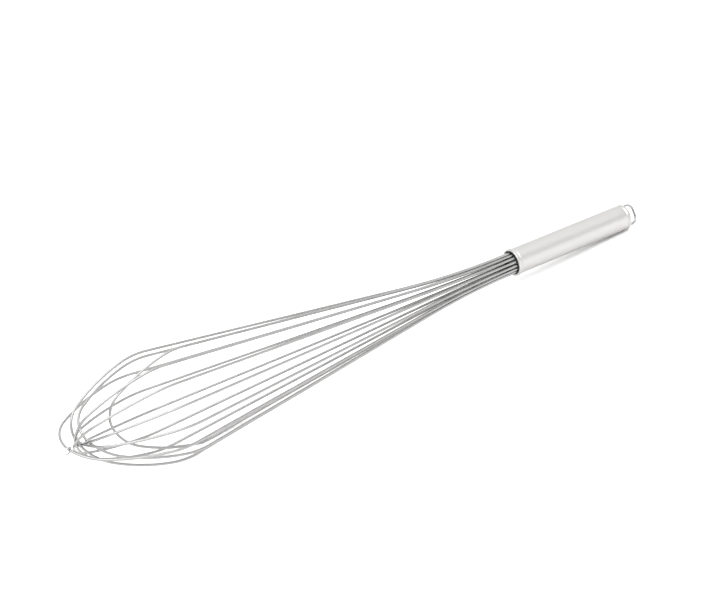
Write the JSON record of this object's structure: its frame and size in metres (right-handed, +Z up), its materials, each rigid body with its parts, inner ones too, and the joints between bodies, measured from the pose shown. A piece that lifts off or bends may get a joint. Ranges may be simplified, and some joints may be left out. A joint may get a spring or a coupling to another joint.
{
  "type": "balloon whisk",
  "caption": "Long balloon whisk for bakery work: nested spring-wire loops in a sealed round steel tube handle with a fixed wire hanging loop.",
  "frame": {"origin": "centre of the object's box on the table that it lies on", "axes": "+X along the whisk from the balloon to the hanging loop, +Z up from the table, +Y across"},
  "size_m": [0.6266, 0.1016, 0.0985],
  "materials": {
    "brushed_steel_tube": "fine lengthwise satin brushing",
    "satin_steel_cap": "satin, drawn",
    "polished_wire": "bright drawn wire",
    "spring_wire": "bright drawn stainless spring wire",
    "tip_wire": "bright drawn wire",
    "band_steel": "mill finish",
    "core_plastic": "moulded, matt",
    "grey_resin": "poured epoxy, slightly glossy",
    "clear_resin": "poured epoxy"
  },
  "bodies": {
    "root": {"handle_tube": "brushed_steel_tube", "end_cap": "satin_steel_cap", "hanging_loop": "polished_wire", "rear_seal": "clear_resin", "wire_core": "core_plastic", "wire_band": "band_steel", "resin_seal": "grey_resin", "tip_ring": "tip_wire", "whisk_loop_1": "spring_wire", "whisk_loop_2": "spring_wire", "whisk_loop_3": "spring_wire", "whisk_loop_4": "spring_wire", "whisk_loop_5": "spring_wire", "whisk_loop_6": "spring_wire", "whisk_loop_7": "spring_wire", "whisk_loop_8": "spring_wire"}
  },
  "joints": []
}
